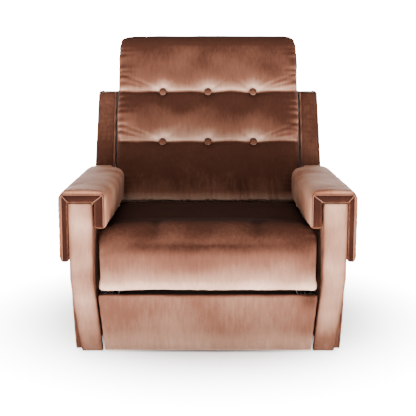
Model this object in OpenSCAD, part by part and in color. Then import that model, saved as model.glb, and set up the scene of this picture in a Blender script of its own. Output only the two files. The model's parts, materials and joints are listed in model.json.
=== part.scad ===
// Push-back recliner armchair: fixed upholstered sides, a seat carriage that glides forward,
// a button-tufted backrest and a leg rest carried on a pair of steel lazy tongs.
// Millimetres. X across, +Y to the rear, +Z up, origin on the floor under the middle.

/* [Overall] */
// Inner width between the two side slabs
seat_gap = 684; // [600:1:780]
// Thickness of each side slab
slab_t = 76; // [64:1:100]
// Height of the slabs where the arm pads sit
arm_h = 456; // [420:1:520]
// Front face of the side slabs
front_y = -430; // [-460:1:-425]
// Rearmost point of the side slabs
rear_y = 450; // [430:1:500]
// Height of the raised wings at the rear
wing_h = 770; // [700:1:860]
// Lean of the backrest and wings from upright, in degrees
back_lean = 20; // [14:1:22]

/* [Side slabs] */
// Padding and cover on the timber side frame
cover_t = 13; // [8:1:18]
// Clearance between a side frame and its cover
cover_gap = 1; // [0.5:0.5:2]
// Width of the timber members of a side frame
member_w = 52; // [40:1:60]
// Height of the slab's underside over the floor
ground_gap = 6; // [5:1:14]
// Thickness of the facing nailed to the front of each arm
facing_t = 14; // [8:1:20]
// How far the facing toes inward at the floor
facing_toe = 24; // [0:1:30]

/* [Arm pads] */
// Padding on top of the arm
pad_top_t = 44; // [30:1:60]
// Padding of the inner flap
pad_flap_t = 38; // [24:1:42]
// Padding of the outer flap
pad_outer_t = 28; // [20:1:36]
// Height of the lower edge of the outer flap
pad_outer_z = 284; // [220:1:320]
// Height of the lower edge of the inner flap
pad_inner_z = 388; // [386:1:410]
// Arm board under the padding
board_t = 10; // [8:1:14]

/* [Seat] */
// Height of the top of the seat cushion
seat_h = 374; // [350:1:380]
// Radius of the roll at the front of the seat
roll_r = 55; // [45:1:58]
// Rear end of the seat cushion
seat_rear_y = 150; // [130:1:152]
// Gap between soft parts that sit side by side
soft_gap = 5; // [3:1:9]
// Forward travel of the seat carriage
glide_travel = 60; // [40:1:70]

/* [Backrest] */
// Height of the backrest pivot
pivot_z = 290; // [280:1:300]
// Position of the backrest pivot
pivot_y = 200; // [190:1:210]
// Length of the back cushion above the pivot
cushion_top = 712; // [640:1:720]
// Depth of the back cushion's face in front of the pivot
cushion_d = 127; // [110:1:130]
// Distance of the middle row of buttons above the pivot
row_low = 283; // [250:1:310]
// Distance of the upper row of buttons above the pivot
row_high = 474; // [440:1:500]
// Spacing of the buttons along a row
button_pitch = 167; // [130:1:190]
// Diameter of a covered button
button_d = 29; // [20:1:34]

/* [Leg rest] */
// Pivot-to-pivot length of one tong link
link_l = 140; // [120:1:142]
// Angle of the folded links from upright, in degrees
fold_deg = 8; // [7:1:12]
// Climb of the tongs as they extend, in degrees
climb_deg = 14; // [8:1:16]
// Height of the leg-rest panel
panel_h = 172; // [140:1:172]
// Padding on the leg-rest board
panel_pad_t = 18; // [12:1:20]
// Leg-rest board
panel_board_t = 12; // [9:1:12]

/* [Hidden] */
$fn = 48;

inner_x = seat_gap / 2;
outer_x = inner_x + slab_t;
velvet = "#8a5a45";
velvet_light = "#c79c85";
beech = "#c9a26b";
steel = "#8d9095";
zinc = "#b9bcc0";

// ---- general helpers ----
function arc(cy, cz, r, from, to, n = 8) =
    [for (i = [0:n]) let (a = from + (to - from) * i / n) [cy + r * cos(a), cz + r * sin(a)]];

// Draws a (y, z) outline as a slab from x0 to x1
module side_slab(points, x0, x1) {
    translate([x0, 0, 0]) rotate([90, 0, 90]) linear_extrude(x1 - x0) polygon(points);
}

// A cylinder along X from x0 to x1
module x_pin(y, z, r, x0, x1) {
    translate([min(x0, x1), y, z]) rotate([0, 90, 0]) cylinder(r = r, h = abs(x1 - x0));
}

// A box from one corner to the other
module block(x, y, z) {
    translate([x[0], y[0], z[0]]) cube([x[1] - x[0], y[1] - y[0], z[1] - z[0]]);
}

// The right-hand piece as drawn, the left-hand one mirrored; left is -X
module on_side(left) {
    if (left) mirror([1, 0, 0]) children();
    else children();
}

// ---- side slabs ----
// The front edge tucks back towards the floor along a quarter wave
toe_top = 190;
toe_back = 18;
function tuck(z) = z >= toe_top ? 0 : pow((toe_top - z) / toe_top, 2);
// The facings lean inward along a straight line below toe_from
toe_from = 230;
function toe(z) = z >= toe_from ? 0 : (toe_from - z) / toe_from;
front_steps = 8;
foot_y = rear_y - 50;
wing_base_y = pivot_y - 24;
wing_lean = tan(back_lean) * (wing_h - arm_h);

function front_edge(inset) =
    [for (i = [0:front_steps]) let (z = ground_gap + (toe_top - ground_gap) * i / front_steps)
        [front_y + inset + toe_back * tuck(z), z]];

function slab_outline(inset, floor_z) = concat(
    [for (p = front_edge(inset)) [p[0], max(p[1], floor_z)]],
    [[front_y + inset, arm_h - inset], [wing_base_y + inset, arm_h - inset]],
    arc(wing_base_y + wing_lean + 26, wing_h - 22, 22 - inset / 2, 160, 90, 4),
    arc(rear_y - 26, wing_h - 26, 26 - inset / 2, 90, -4, 5),
    [[foot_y - inset, floor_z]]);

frame_inset = cover_t + cover_gap;

module side_cover() color(velvet) difference() {
    side_slab(slab_outline(0, ground_gap), inner_x, outer_x);
    side_slab(slab_outline(cover_t, ground_gap - 1), inner_x + cover_t, outer_x - cover_t);
    for (spec = [front_rail_z, rear_rail_z])
        bolt_pair(spec[1], spec[0], bolt_r + 0.5, inner_x - 1, inner_x + cover_t + 1);
}

module side_frame() color(beech) difference() {
    side_slab(slab_outline(frame_inset, ground_gap), inner_x + frame_inset, outer_x - frame_inset);
    side_slab([
        [front_y + frame_inset + member_w + 10, ground_gap + 150],
        [front_y + frame_inset + member_w + 10, arm_h - frame_inset - member_w],
        [-60, arm_h - frame_inset - member_w], [-60, ground_gap + 150]], inner_x, outer_x);
    side_slab([
        [-60 + member_w, ground_gap + 150], [-60 + member_w, arm_h - frame_inset - member_w],
        [wing_base_y + 40, arm_h - frame_inset - member_w], [wing_base_y + 40 + wing_lean * 0.8, wing_h - 100],
        [rear_y - 90, wing_h - 100], [foot_y - 70, ground_gap + 150]], inner_x, outer_x);
    for (spec = [front_rail_z, rear_rail_z]) {
        bolt_pair(spec[1], spec[0], bolt_r, inner_x, outer_x);
        bolt_pair(spec[1], spec[0], head_r + 1, bolt_head_x, outer_x);
    }
}

module arm_facing() color(velvet_light) {
    x0 = inner_x + 2;
    x1 = outer_x;
    facing_top = arm_h + board_t;
    band = concat(
        [for (p = front_edge(0)) [p[0] - facing_t, p[1]]], [[front_y - facing_t, facing_top]],
        [[front_y - 0.3, facing_top]], [for (i = [front_steps:-1:0]) front_edge(0)[i] - [0.3, 0]]);
    edge_z = [for (i = [0:front_steps]) ground_gap + (toe_top - ground_gap) * i / front_steps];
    intersection() {
        side_slab(band, x0 - facing_toe, x1);
        translate([0, front_y + toe_back + 1, 0]) rotate([90, 0, 0]) linear_extrude(toe_back + facing_t + 3)
            polygon(concat(
                [for (z = edge_z) [x0 - facing_toe * toe(z), z]], [[x0, toe_from], [x0, facing_top - 6], [x0 + 6, facing_top]],
                [[x1 - 6, facing_top], [x1, facing_top - 6], [x1, toe_from]],
                [for (i = [front_steps:-1:0]) [x1 - facing_toe * 1.2 * toe(edge_z[i]), edge_z[i]]]));
    }
}

// ---- arm pads ----
pad_front_y = front_y - facing_t - 2;
pad_clear = 1.5;

// Rear end of a pad at height z: it leans with the wing's front edge and stops just short of it
function pad_rear_y(z) = wing_base_y - 4 + tan(back_lean) * (z - arm_h);

// The part of a pad that overhangs the seat stops short of the leaning back cushion instead
flap_rear_gap = 9;
function flap_rear_y(z) = pivot_y - (cushion_d + flap_rear_gap) / cos(back_lean) + tan(back_lean) * (z - pivot_z);

module arm_board() color(beech)
    block([inner_x + 4, outer_x - 4], [front_y + 6, pad_rear_y(arm_h) - 10], [arm_h + 0.5, arm_h + board_t]);

module arm_pad() color(velvet_light) {
    x0 = inner_x - pad_flap_t;
    x1 = outer_x + pad_outer_t;
    top = arm_h + pad_top_t;
    round_r = 22;
    inner_top = arm_h + board_t + pad_clear;
    difference() {
        pad_body(x0, x1, top, round_r, inner_top);
        side_slab([[flap_rear_y(pad_inner_z - 20), pad_inner_z - 20], [flap_rear_y(top + 20), top + 20],
            [rear_y, top + 20], [rear_y, pad_inner_z - 20]], x0 - 1, inner_x - 0.5);
    }
}

module pad_body(x0, x1, top, round_r, inner_top) {
    intersection() {
        translate([0, 300, 0]) rotate([90, 0, 0]) linear_extrude(900) polygon(concat(
            [[x0 + 10, pad_inner_z], [x0, pad_inner_z + 12]],
            arc(x0 + round_r, top - round_r, round_r, 180, 90, 6),
            arc(x1 - round_r, top - round_r, round_r, 90, 0, 6),
            [[x1, pad_outer_z + 12], [x1 - 8, pad_outer_z], [outer_x + pad_clear, pad_outer_z]],
            [[outer_x + pad_clear, inner_top], [inner_x - pad_clear, inner_top], [inner_x - pad_clear, pad_inner_z]]));
        side_slab([[pad_front_y, pad_outer_z - 1], [pad_front_y, top + 1],
            [pad_rear_y(top + 1), top + 1], [pad_rear_y(pad_outer_z - 1), pad_outer_z - 1]], x0 - 1, x1 + 1);
    }
}

// ---- base rails ----
rail_t = 24;
front_rail_y = -230;
front_rail_z = [20, front_rail_y, 100];
rear_rail_y = foot_y - 52;
rear_rail_z = [40, rear_rail_y, 150];
bolt_r = 4;
head_r = 8;
head_t = 6;
bolt_head_x = outer_x - frame_inset - head_t - 1;
bolt_inset = 20;
bolt_pitch = 40;

// Two bolts through a side slab into the end of a rail that starts at height z0
module bolt_pair(y, z0, r, x0, x1) {
    for (dz = [bolt_inset, bolt_inset + bolt_pitch]) x_pin(y + rail_t / 2, z0 + dz, r, x0, x1);
}

module base_rail(spec) color(beech) difference() {
    block([-inner_x + 0.3, inner_x - 0.3], [spec[1], spec[1] + rail_t], [spec[0], spec[2]]);
    for (s = [0, 1]) on_side(s == 1) bolt_pair(spec[1], spec[0], bolt_r, inner_x - 50, inner_x + 1);
}

module rail_bolts() color(zinc) for (s = [0, 1]) on_side(s == 1) for (spec = [front_rail_z, rear_rail_z]) {
    bolt_pair(spec[1], spec[0], bolt_r - 0.05, inner_x - 48, bolt_head_x + 1);
    bolt_pair(spec[1], spec[0], head_r, bolt_head_x + 0.1, bolt_head_x + head_t);
}

module rear_skirt() color(velvet)
    block([-inner_x + 1, inner_x - 1], [rear_rail_y + rail_t + 0.3, rear_rail_y + rail_t + 14], [ground_gap + 8, 262]);

module dust_cover() color("#2a2624")
    block([-inner_x + 6, inner_x - 6], [front_rail_y + 2, rear_rail_y + rail_t - 2], [front_rail_z[0] - 4, front_rail_z[0] - 2]);

glide_r = 16;

module floor_glides() color("#3a3431") for (s = [0, 1]) on_side(s == 1)
    for (y = [front_y + 75, foot_y - 55]) translate([inner_x + slab_t / 2, y, 0]) {
        cylinder(r = glide_r, h = ground_gap - 0.2);
    }

// ---- guide channels and runners ----
channel_z = 150;
channel_h = 32;
channel_wall = 3;
channel_depth = 22;
runner_clear = 0.6;
runner_y = [-180, 120];
channel_y = [runner_y[0] - 2 * glide_travel, runner_y[1] + glide_travel + 70];

module guide_channel() color(steel) difference() {
    block([inner_x - channel_depth, inner_x - 0.3], channel_y, [channel_z, channel_z + channel_h]);
    block([inner_x - channel_depth - 1, inner_x - channel_wall], [channel_y[0] - 1, channel_y[1] + 1],
        [channel_z + channel_wall, channel_z + channel_h - channel_wall]);
}

module runner() color("#e8e4da")
    block([plate_x + plate_t + 0.2, inner_x - channel_wall - 1], runner_y,
        [channel_z + channel_wall + runner_clear, channel_z + channel_h - channel_wall - runner_clear]);

// ---- seat carriage ----
plate_x = inner_x - 42;
plate_t = 4;
seat_frame_x = plate_x - 3.5;
frame_z = [200, 250];

// Tongs: e runs forward and up along the upper pivots, m runs down across them
e = [-cos(climb_deg), sin(climb_deg)];
m = [-sin(climb_deg), -cos(climb_deg)];
upper_rest = [-352, 165];
fold_step = 2 * link_l * sin(fold_deg);
p1 = upper_rest - fold_step * e;
link_w = link_l * sin(fold_deg) * cos(fold_deg) - 1.3;
slot_r = 5.2;
pin_r = 5;
hole_r = 5.05;

// A pivot of the folded tongs: i steps along e, on the upper (0) or lower (1) line
function knot(i, low) = p1 + i * fold_step / 2 * e + low * link_l * cos(fold_deg) * m;
function middle(a, b) = (a + b) / 2;

open_deg = 65;

module seat_side_plate() color(steel) difference() {
    union() {
        side_slab([[-345, 134], [-345, frame_z[1]], [230, frame_z[1]], [230, channel_z], [-260, channel_z]],
            plate_x, plate_x + plate_t);
        // lug with the slot for the lower rear pivot
        side_slab([p1 + [-28, 20], p1 + [34, 20], knot(0, 1) + [22, -6], knot(0, 1) + [8, -12], knot(0, 1) + [-16, -4]],
            plate_x, plate_x + plate_t);
        // ear that carries the backrest pivot
        side_slab([[pivot_y - 30, frame_z[1] - 1], [pivot_y - 22, pivot_z + 12], [pivot_y - 10, pivot_z + 22],
            [pivot_y + 10, pivot_z + 22], [pivot_y + 22, pivot_z + 12], [pivot_y + 30, frame_z[1] - 1]],
            plate_x, plate_x + plate_t);
        x_pin(pivot_y, pivot_z, 6, plate_x - 12, plate_x + 1);
        x_pin(p1[0], p1[1], pin_r, plate_x - 6.5, plate_x + 1);
    }
    slot_top = p1 + link_l * cos(open_deg + 2) * m;
    slot_low = p1 + link_l * cos(fold_deg - 2) * m;
    x_pin(slot_top[0], slot_top[1], slot_r, plate_x - 1, plate_x + plate_t + 1);
    x_pin(slot_low[0], slot_low[1], slot_r, plate_x - 1, plate_x + plate_t + 1);
    n = [m[1], -m[0]] * slot_r;
    side_slab([slot_top + n, slot_low + n, slot_low - n, slot_top - n], plate_x - 1, plate_x + plate_t + 1);
    for (y = screw_ys) x_pin(y, screw_z, 2.5, plate_x - 1, plate_x + plate_t + 1);
}

screw_ys = [-300, -60, 120];
screw_z = 225;

module plate_screws() color(zinc) for (s = [0, 1]) on_side(s == 1) for (y = screw_ys) {
    x_pin(y, screw_z, 2.4, seat_frame_x - 20, plate_x + plate_t);
    x_pin(y, screw_z, 6, plate_x + plate_t + 0.01, plate_x + plate_t + 2.5);
}

module seat_frame() color(beech) difference() {
    block([-seat_frame_x, seat_frame_x], [-384, 150], frame_z);
    block([-seat_frame_x + 42, seat_frame_x - 42], [-340, 108], [frame_z[0] - 1, frame_z[1] + 1]);
    for (s = [0, 1]) on_side(s == 1) for (y = screw_ys)
        x_pin(y, screw_z, 2.5, seat_frame_x - 22, seat_frame_x + 1);
}

web_w = 50;
web_t = 2.5;

module seat_webbing() color("#4b3527") {
    for (i = [0:4]) translate([0, -310 + i * 92, 0])
        block([-seat_frame_x + 8, seat_frame_x - 8], [-web_w / 2, web_w / 2], [frame_z[1] + 0.1, frame_z[1] + web_t]);
}

module seat_cushion() color(velvet) {
    roll_y = front_y - 20 + roll_r;
    roll_z = frame_z[0] - 5 + roll_r;
    base_z = frame_z[1] + web_t + 1.5;
    side_slab(concat(
        [[seat_rear_y, base_z], [seat_rear_y, seat_h - 22], [seat_rear_y - 70, seat_h]],
        arc(roll_y + 12, seat_h - roll_r - 12, roll_r + 12, 90, 172, 8),
        arc(roll_y, roll_z, roll_r, 185, 270, 8), [[-390, roll_z - roll_r], [-388, base_z]]),
        -inner_x + soft_gap, inner_x - soft_gap);
}

// ---- backrest, drawn upright about its pivot and leaned back ----
module leaned() {
    translate([0, pivot_y, pivot_z]) rotate([-back_lean, 0, 0]) children();
}

post_x = plate_x - 12;
post = [-8, 34];
frame_top = cushion_top - 78;
back_top_z = cushion_top - 60;
back_pad_t = 22;
shoulder_x = inner_x - soft_gap - 1;

module back_frame() color(beech) leaned() difference() {
    block([-post_x, post_x], post, [-40, frame_top]);
    for (z = [[20, 190], [250, 400], [460, frame_top - 60]])
        block([-post_x + 50, post_x - 50], [post[0] - 1, post[1] + 1], z);
    for (s = [0, 1]) on_side(s == 1) {
        x_pin(0, 0, 9, post_x - 12, post_x + 1);
        for (z = bracket_holes) x_pin(14, z, 3, post_x - 32, post_x + 1);
    }
}

bracket_holes = [45, 85];

module back_bracket() color(steel) leaned() difference() {
    side_slab([[-15, -15], [-15, 15], [2, 105], [26, 105], [26, -4], [14, -15]], post_x + 0.1, post_x + 5);
    x_pin(0, 0, 6.05, post_x - 1, post_x + 6);
    for (z = bracket_holes) x_pin(14, z, 3, post_x - 1, post_x + 6);
}

module bracket_bolts() color(zinc) leaned() for (s = [0, 1]) on_side(s == 1) for (z = bracket_holes) {
    x_pin(14, z, 2.95, post_x - 30, post_x + 5);
    x_pin(14, z, 5.5, post_x + 5.01, post_x + 7);
}

module back_webbing() color("#4b3527") leaned() for (z = [70, 135, 215, 290, 360, 430, 500])
    block([-post_x + 8, post_x - 8], [post[0] - web_t, post[0] - 0.1], [z - web_w / 2, z + web_w / 2]);

module back_cushion() color(velvet) leaned() difference() {
    y0 = -cushion_d;
    y1 = post[0] - web_t - 2;
    rotate([90, 0, 0]) translate([0, 0, -y1]) linear_extrude(y1 - y0) polygon([
        [-shoulder_x, 60], [shoulder_x, 60], [shoulder_x, cushion_top - 44], [shoulder_x - 26, cushion_top - 18], [120, cushion_top],
        [-120, cushion_top], [-shoulder_x + 26, cushion_top - 18],
        [-shoulder_x, cushion_top - 44]]);
    // lower front edge clears the seat, upper front edge rounds over the head
    side_slab([[y0 - 1, 59], [y0 - 1, 74], [y0 + 14, 59]], -inner_x, inner_x);
    side_slab([[y0 - 1, cushion_top + 1], [y0 + 50, cushion_top + 1], [y0 - 1, cushion_top - 50]], -inner_x, inner_x);
    for (x = [-1:1], z = [row_low, row_high])
        translate([x * button_pitch, y0 - 1, z]) rotate([-90, 0, 0]) cylinder(d = button_d + 4, h = button_sink + 1);
}

button_sink = 26;
button_t = 9;

module back_buttons() color(velvet_light) leaned() for (x = [-1:1], z = [row_low, row_high])
    translate([x * button_pitch, -cushion_d + button_sink - 0.5, z]) rotate([90, 0, 0]) cylinder(d = button_d, h = button_t);

// Padded outer panel with boxed sides that close the timber frame in above the brackets
module outer_back() color(velvet) leaned() {
    x1 = shoulder_x;
    difference() {
        side_slab([[post[1] + 0.3, -30], [post[1] + 14, -30], [post[1] + back_pad_t, 40],
            [post[1] + back_pad_t, back_top_z], [post[1] + 8, back_top_z + 26], [2, back_top_z + 30],
            [2, frame_top + 2], [post[1] + 0.3, frame_top + 2]], -x1, x1);
        // the lower corners are cut away to pass the side plates
        for (s = [0, 1]) on_side(s == 1) block([post_x + 6, inner_x], [post[1], post[1] + 40], [-31, 12]);
    }
    for (s = [0, 1]) on_side(s == 1)
        block([post_x + 0.3, x1], [post[0] + 2, post[1] + 1], [bracket_holes[1] + 40, back_top_z + 6]);
}

// ---- leg rest ----
outer_layer = [plate_x - 6, plate_x - 2];
inner_layer = [plate_x - 12, plate_x - 8];
bracket_layer = [plate_x - 18, plate_x - 14];

// A flat link with round ends between knots a and b, with holes and pins on its axis points
module tong_link(a, b, layer, holes, pins) {
    d = (b - a) / norm(b - a);
    n = [d[1], -d[0]] * link_w / 2;
    difference() {
        union() {
            side_slab([a + n, b + n, b - n, a - n], layer[0], layer[1]);
            for (p = [a, b]) x_pin(p[0], p[1], link_w / 2, layer[0], layer[1]);
        }
        for (p = holes) x_pin(p[0], p[1], hole_r, layer[0] - 1, layer[1] + 1);
    }
    for (p = pins) x_pin(p[0][0], p[0][1], pin_r, p[1], p[2]);
}

// Link from the fixed upper pivot down and forward
module rear_lower_link() color(steel) tong_link(knot(0, 0), knot(1, 1), outer_layer, [knot(0, 0)],
    [[middle(knot(0, 0), knot(1, 1)), inner_layer[0] - 0.8, outer_layer[0] + 1],
     [knot(1, 1), inner_layer[0] - 4, outer_layer[0] + 1]]);

module link_cross_tube() color(steel) {
    p = knot(1, 1);
    x_pin(p[0], p[1], 9, -inner_layer[0] + 4.05, inner_layer[0] - 4.05);
}

// Link from the slotted lower pivot up and forward
module rear_upper_link() color(steel) tong_link(knot(0, 1), knot(1, 0), inner_layer,
    [middle(knot(0, 1), knot(1, 0))],
    [[knot(0, 1), inner_layer[1] - 1, plate_x + plate_t + 1], [knot(1, 0), inner_layer[1] - 1, outer_layer[1] + 0.8]]);

module front_lower_link() color(steel) tong_link(knot(1, 0), knot(2, 1), outer_layer, [knot(1, 0)],
    [[middle(knot(1, 0), knot(2, 1)), inner_layer[0] - 0.8, outer_layer[0] + 1]]);

module front_upper_link() color(steel) tong_link(knot(1, 1), knot(2, 0), inner_layer,
    [knot(1, 1), middle(knot(1, 1), knot(2, 0))],
    [[knot(2, 0), bracket_layer[0] - 0.8, inner_layer[0] + 1]]);

panel_top_z = 182;
panel_front_y = front_y - facing_t + 6;
panel_back_y = panel_front_y + panel_pad_t + panel_board_t;
panel_low_z = panel_top_z - panel_h;
panel_x = inner_x - 3;

function panel_edge(z, inset) = panel_x - inset - facing_toe * toe(z);

// The panel follows the toed-in facings, so its outline is theirs less a clearance
module panel_outline(inset) {
    zs = [for (i = [0:8]) panel_low_z + inset + (panel_h - 2 * inset) * i / 8];
    polygon(concat([for (z = zs) [panel_edge(z, inset), z]],
        [for (i = [8:-1:0]) [-panel_edge(zs[i], inset), zs[i]]]));
}

module legrest_pad() color(velvet_light) translate([0, panel_front_y + panel_pad_t, 0])
    rotate([90, 0, 0]) linear_extrude(panel_pad_t) panel_outline(0);

module legrest_board() color(beech) difference() {
    translate([0, panel_back_y, 0]) rotate([90, 0, 0]) linear_extrude(panel_board_t - 0.2) panel_outline(10);
    for (s = [0, 1]) on_side(s == 1) for (z = leg_screw_zs) translate([leg_screw_x, panel_back_y + 1, z])
        rotate([90, 0, 0]) cylinder(r = 2.5, h = 11);
}

leg_screw_zs = [100, 140];
leg_screw_x = bracket_layer[0] - 14;

module legrest_bracket() color(steel) {
    p = knot(2, 0);
    difference() {
        union() {
            side_slab([p + [10, 8], p + [10, -8], p + [-4, -14], [panel_back_y + 0.2, 80], [panel_back_y + 0.2, 162],
                p + [-4, 12]], bracket_layer[0], bracket_layer[1]);
            block([bracket_layer[0] - 28, bracket_layer[1]], [panel_back_y + 0.1, panel_back_y + 4], [80, 162]);
        }
        x_pin(p[0], p[1], hole_r, bracket_layer[0] - 1, bracket_layer[1] + 1);
        for (z = leg_screw_zs) translate([leg_screw_x, panel_back_y + 6, z])
            rotate([90, 0, 0]) cylinder(r = 2.5, h = 10);
    }
}

module legrest_screws() color(zinc) for (s = [0, 1]) on_side(s == 1) for (z = leg_screw_zs)
    translate([leg_screw_x, panel_back_y + 4.05, z]) {
        rotate([90, 0, 0]) cylinder(r = 2.4, h = 12);
        rotate([-90, 0, 0]) cylinder(r = 5, h = 2.5);
    }

// ---- placement ----
// The origin is under the middle of the whole chair, from the seat's roll to the top of the outer back
rear_most = pivot_y + (post[1] + back_pad_t) * cos(back_lean) + back_top_z * sin(back_lean);
mid_y = (front_y - 20 + rear_most) / 2;

module placed() {
    translate([0, -mid_y, 0]) children();
}

placed() on_side(true) side_frame();  // side_frame_left
placed() side_frame();  // side_frame_right
placed() on_side(true) side_cover();  // side_cover_left
placed() side_cover();  // side_cover_right
placed() on_side(true) arm_facing();  // arm_facing_left
placed() arm_facing();  // arm_facing_right
placed() on_side(true) arm_board();  // arm_board_left
placed() arm_board();  // arm_board_right
placed() on_side(true) arm_pad();  // arm_pad_left
placed() arm_pad();  // arm_pad_right
placed() base_rail(front_rail_z);  // front_rail
placed() base_rail(rear_rail_z);  // rear_rail
placed() rear_skirt();
placed() dust_cover();
placed() rail_bolts();
placed() floor_glides();
placed() on_side(true) guide_channel();  // guide_channel_left
placed() guide_channel();  // guide_channel_right
placed() seat_frame();
placed() seat_webbing();
placed() seat_cushion();
placed() on_side(true) seat_side_plate();  // seat_side_plate_left
placed() seat_side_plate();  // seat_side_plate_right
placed() on_side(true) runner();  // runner_left
placed() runner();  // runner_right
placed() plate_screws();
placed() back_frame();
placed() back_webbing();
placed() back_cushion();
placed() back_buttons();
placed() outer_back();
placed() on_side(true) back_bracket();  // back_bracket_left
placed() back_bracket();  // back_bracket_right
placed() bracket_bolts();
placed() on_side(true) rear_lower_link();  // rear_lower_link_left
placed() rear_lower_link();  // rear_lower_link_right
placed() link_cross_tube();
placed() on_side(true) rear_upper_link();  // rear_upper_link_left
placed() rear_upper_link();  // rear_upper_link_right
placed() on_side(true) front_lower_link();  // front_lower_link_left
placed() front_lower_link();  // front_lower_link_right
placed() on_side(true) front_upper_link();  // front_upper_link_left
placed() front_upper_link();  // front_upper_link_right
placed() legrest_board();
placed() legrest_pad();
placed() on_side(true) legrest_bracket();  // legrest_bracket_left
placed() legrest_bracket();  // legrest_bracket_right
placed() legrest_screws();
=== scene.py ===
"""Velvet recliner armchair: dresses the CAD frame with upholstery, finishes, floor, lights and camera.

Metres throughout. X runs across the chair, +Y to its rear, +Z up, and the origin is on the floor under its middle.
"""

import json
import logging
from dataclasses import dataclass, field
from enum import Enum
from typing import Callable, Sequence

import bpy
import numpy as np
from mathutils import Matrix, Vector
from numpy.typing import NDArray


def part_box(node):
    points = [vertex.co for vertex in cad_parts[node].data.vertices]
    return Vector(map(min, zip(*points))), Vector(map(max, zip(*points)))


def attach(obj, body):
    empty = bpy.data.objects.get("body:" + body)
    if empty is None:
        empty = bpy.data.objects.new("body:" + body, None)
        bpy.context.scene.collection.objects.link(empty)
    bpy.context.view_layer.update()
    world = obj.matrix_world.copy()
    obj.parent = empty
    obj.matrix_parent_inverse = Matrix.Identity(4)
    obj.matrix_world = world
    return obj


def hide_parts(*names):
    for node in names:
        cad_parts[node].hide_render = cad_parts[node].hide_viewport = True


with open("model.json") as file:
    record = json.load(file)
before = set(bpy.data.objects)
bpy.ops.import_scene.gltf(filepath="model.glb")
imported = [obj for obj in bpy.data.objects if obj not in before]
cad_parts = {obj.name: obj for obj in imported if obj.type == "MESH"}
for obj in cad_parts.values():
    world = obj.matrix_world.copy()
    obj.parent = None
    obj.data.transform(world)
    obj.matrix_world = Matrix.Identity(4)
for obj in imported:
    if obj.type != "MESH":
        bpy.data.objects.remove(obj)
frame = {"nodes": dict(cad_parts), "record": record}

LOG = logging.getLogger("armchair")
Array = NDArray[np.float64]
Point = tuple[float, float]
Stops = Sequence[tuple[float, str]]
MM = 0.001


# ---------------------------------------------------------------- colour and nodes


def linear(colour: str) -> tuple[float, float, float, float]:
    """Turns an sRGB hex colour into linear RGBA.

    Args:
        colour: Six hex digits after a hash sign.

    Returns:
        Linear red, green, blue and an alpha of one.
    """
    srgb = np.array([int(colour[i : i + 2], 16) / 255 for i in (1, 3, 5)])
    rgb = np.where(srgb <= 0.04045, srgb / 12.92, ((srgb + 0.055) / 1.055) ** 2.4)
    return (*map(float, rgb), 1.0)


class Surface:
    """A new material with Object coordinates to draw its patterns in."""

    def __init__(self, name: str) -> None:
        """Makes the empty material.

        Args:
            name: Its name.
        """
        self.material = bpy.data.materials.new(name)
        self.material.use_nodes = True
        self.tree = self.material.node_tree
        self.tree.nodes.clear()
        self.place = self.add("ShaderNodeTexCoord", output="Object")

    def add(
        self, kind: str, inputs: dict[str, object] | Sequence[object] = (), output: int | str = 0, stops: Stops = (),
        **settings: object,
    ) -> bpy.types.NodeSocket | None:
        """Adds one node with its settings and links.

        Args:
            kind: The node's type name.
            inputs: A value or an output socket for each input, by name or in order.
            output: Which of its outputs is wanted, by name or number.
            stops: Position and sRGB hex colour of each stop, for a colour ramp.
            **settings: Properties of the node.

        Returns:
            The wanted output, or nothing from a node without outputs.
        """
        node = self.tree.nodes.new(kind)
        for name, value in settings.items():
            setattr(node, name, value)
        for name, value in inputs.items() if isinstance(inputs, dict) else enumerate(inputs):
            if isinstance(value, bpy.types.NodeSocket):
                self.tree.links.new(value, node.inputs[name])
            else:
                node.inputs[name].default_value = value
        while stops and len(node.color_ramp.elements) < len(stops):
            node.color_ramp.elements.new(0.5)
        for number, (position, colour) in enumerate(stops):
            node.color_ramp.elements[number].position = position
            node.color_ramp.elements[number].color = linear(colour)
        return node.outputs[output] if node.outputs else None

    def close(self, inputs: dict[str, object]) -> bpy.types.Material:
        """Ends the tree with a Principled shader and its output.

        Args:
            inputs: A value or an output socket for each of the shader's inputs that is set.

        Returns:
            The material.
        """
        shader = self.add("ShaderNodeBsdfPrincipled", inputs)
        self.add("ShaderNodeOutputMaterial", {"Surface": shader})
        return self.material


# ---------------------------------------------------------------- finishes


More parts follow.
